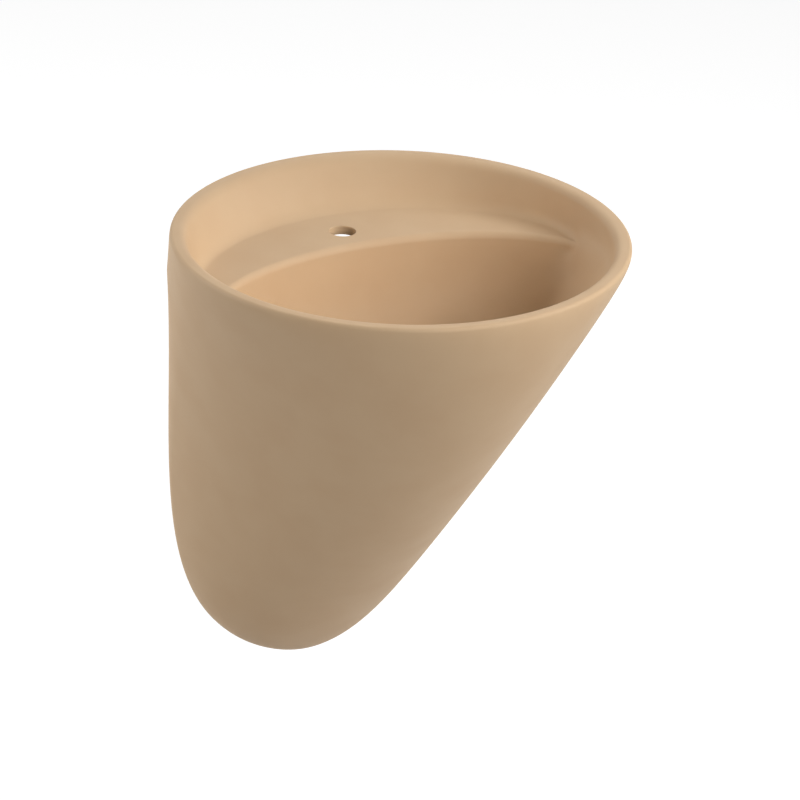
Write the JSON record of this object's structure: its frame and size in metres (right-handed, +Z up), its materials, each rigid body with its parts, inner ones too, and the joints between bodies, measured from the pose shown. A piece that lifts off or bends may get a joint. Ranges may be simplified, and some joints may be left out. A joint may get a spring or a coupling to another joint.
{
  "type": "wall-hung washbasin",
  "caption": "Round wall-hung washbasin with a tall tapering ceramic shroud, a crescent tap deck, a push-to-close waste and a bottle trap.",
  "frame": {"origin": "middle of the wall plate's four bolt holes, on the wall plane", "axes": "+Z up, +X to the right as seen from the front, +Y into the wall; the front of the basin faces -Y"},
  "size_m": [0.6, 0.645, 0.7125],
  "materials": {
    "ceramic": "matt sand glaze",
    "plate_steel": "zinc plated",
    "plastic": "matt",
    "chrome": "polished chrome",
    "brass": "turned",
    "rubber": "matt"
  },
  "bodies": {
    "root": {"basin": "ceramic", "wall_plate": "plate_steel", "hook_pads": "plastic", "waste_flange": "chrome", "flange_seal": "rubber", "waste_gasket": "rubber", "slip_washer": "plastic", "back_nut": "chrome", "cartridge": "brass", "inlet_nut": "chrome", "inlet_washer": "rubber", "inlet_tube": "chrome", "head_nut": "chrome", "head_seal": "rubber", "trap_body": "chrome", "cup_seal": "rubber", "trap_cup": "chrome", "outlet_nut": "chrome", "outlet_seal": "rubber", "outlet_pipe": "chrome", "wall_rosette": "chrome"},
    "plug": {"plug_stem": "brass", "plug_holder": "chrome", "plug_seal": "rubber", "plug_cap": "ceramic"}
  },
  "joints": [
    {"name": "plug_slide", "type": "slide", "parent": "root", "child": "plug", "axis": [0, 0, 1], "range_m": [0, 0.008]}
  ]
}
